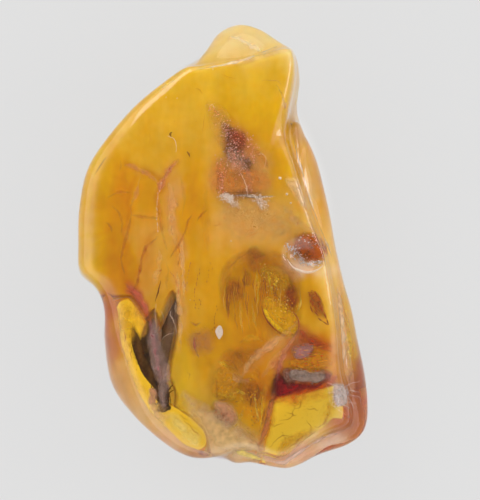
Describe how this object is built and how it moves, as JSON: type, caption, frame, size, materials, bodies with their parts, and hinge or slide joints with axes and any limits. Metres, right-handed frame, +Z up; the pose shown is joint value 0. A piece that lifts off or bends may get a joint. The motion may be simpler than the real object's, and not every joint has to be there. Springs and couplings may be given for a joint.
{
  "type": "moth in amber",
  "caption": "Polished natural lump of golden amber with a small moth sealed head down inside it, lying on a small flat spot on its back.",
  "frame": {"origin": "centre of the lump's footprint, on the surface that it rests on", "axes": "+Y along the lump towards its pale capped end, away from the moth's head; +Z up, out of the polished face that the moth is seen through; +X to the right as that face is looked at"},
  "size_m": [0.0224, 0.0341, 0.0122],
  "materials": {
    "amber": "polished",
    "insect": "matte"
  },
  "bodies": {
    "root": {"amber_back": "amber", "amber_front": "amber", "moth": "insect"}
  },
  "joints": []
}
